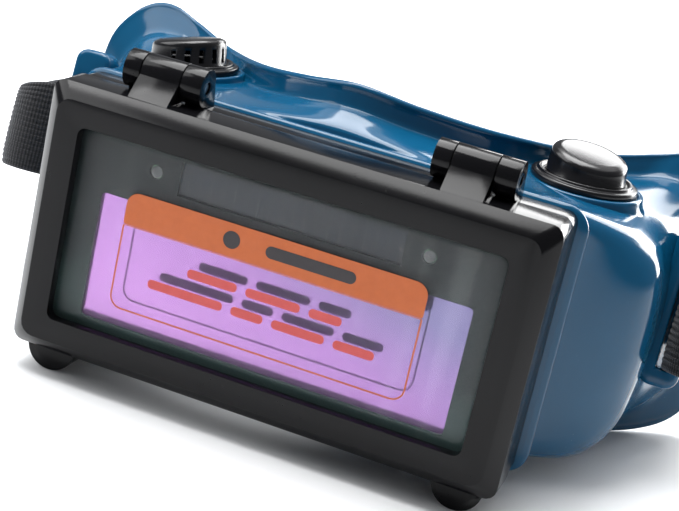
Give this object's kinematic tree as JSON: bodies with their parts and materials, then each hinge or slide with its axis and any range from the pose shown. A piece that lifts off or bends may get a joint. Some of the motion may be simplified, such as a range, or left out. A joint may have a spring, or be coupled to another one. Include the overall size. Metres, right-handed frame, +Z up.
{
  "type": "welding goggles",
  "caption": "Soft-bodied welding goggles with a flip-up frame that holds an auto-darkening filter, turning vent caps and an adjustable elastic headband.",
  "frame": {"origin": "on the table, under the middle of the bounding box", "axes": "+X to the viewer's right, the wearer's left; +Y from the window towards the back of the head; +Z up"},
  "size_m": [0.209, 0.2352, 0.0818],
  "materials": {
    "black_plastic": "glossy injection-moulded, light moulding marks",
    "blue_vinyl": "glossy soft vinyl",
    "clear_plastic": "clear polished polycarbonate",
    "film_orange": "clear peel-off film with a printed orange band",
    "case_grey": "satin grey-green",
    "violet_glass": "coated, violet reflection",
    "dark_glass": "polished dark glass",
    "solar_blue": "dark blue cells with fine silver lines",
    "board_green": "solder-resist green",
    "steel": "bright zinc-plated",
    "elastic_black": "woven elastic with lengthwise ribs"
  },
  "bodies": {
    "goggle": {"body_shell": "blue_vinyl", "headband": "elastic_black", "rear_frame": "black_plastic", "clamp_ring": "black_plastic", "clear_inner_lens": "clear_plastic", "clamp_screw_upper_left": "steel", "clamp_screw_lower_left": "steel", "clamp_screw_upper_right": "steel", "clamp_screw_lower_right": "steel", "hinge_pin_left": "steel", "hinge_pin_right": "steel", "vent_base_upper_left": "black_plastic", "vent_base_upper_right": "black_plastic", "vent_base_lower_left": "black_plastic", "vent_base_lower_right": "black_plastic"},
    "flip_front": {"flip_frame": "black_plastic", "front_cover_plate": "clear_plastic", "protective_film": "film_orange", "filter_case_front": "case_grey", "filter_case_back": "case_grey", "filter_glass": "violet_glass", "lcd_shutter": "dark_glass", "solar_strip": "solar_blue", "circuit_board": "board_green", "arc_sensor_left": "dark_glass", "arc_sensor_right": "dark_glass", "coin_cell_left": "steel", "coin_cell_right": "steel", "filter_retainer": "black_plastic"},
    "vent_cap_upper_left": {"vent_cap_upper_left": "black_plastic"},
    "vent_cap_upper_right": {"vent_cap_upper_right": "black_plastic"},
    "vent_cap_lower_left": {"vent_cap_lower_left": "black_plastic"},
    "vent_cap_lower_right": {"vent_cap_lower_right": "black_plastic"},
    "strap_slider_left": {"strap_slider_left": "black_plastic"},
    "strap_slider_right": {"strap_slider_right": "black_plastic"}
  },
  "joints": [
    {"name": "flip_hinge", "type": "hinge", "parent": "goggle", "child": "flip_front", "pos_m": [0, -0.1042, 0.0763], "axis": [-1, 0, 0], "range_deg": [0, 110]},
    {"name": "vent_cap_upper_left_turn", "type": "hinge", "parent": "goggle", "child": "vent_cap_upper_left", "pos_m": [-0.0539, -0.0538, 0.0673], "axis": [-0.1219, 0, 0.9925], "continuous": true},
    {"name": "vent_cap_upper_right_turn", "type": "hinge", "parent": "goggle", "child": "vent_cap_upper_right", "pos_m": [0.0539, -0.0538, 0.0673], "axis": [0, 0, 1], "continuous": true},
    {"name": "vent_cap_lower_left_turn", "type": "hinge", "parent": "goggle", "child": "vent_cap_lower_left", "pos_m": [-0.046, -0.0751, 0.0065], "axis": [0, 0, -1], "continuous": true},
    {"name": "vent_cap_lower_right_turn", "type": "hinge", "parent": "goggle", "child": "vent_cap_lower_right", "pos_m": [0.046, -0.0751, 0.0065], "axis": [0, 0, -1], "continuous": true},
    {"name": "strap_slider_left_travel", "type": "slide", "parent": "goggle", "child": "strap_slider_left", "axis": [0, 0.9816, -0.1908], "range_m": [-0.006, 0.01]},
    {"name": "strap_slider_right_travel", "type": "slide", "parent": "goggle", "child": "strap_slider_right", "axis": [0, 0.9816, -0.1908], "range_m": [-0.006, 0.01]}
  ]
}
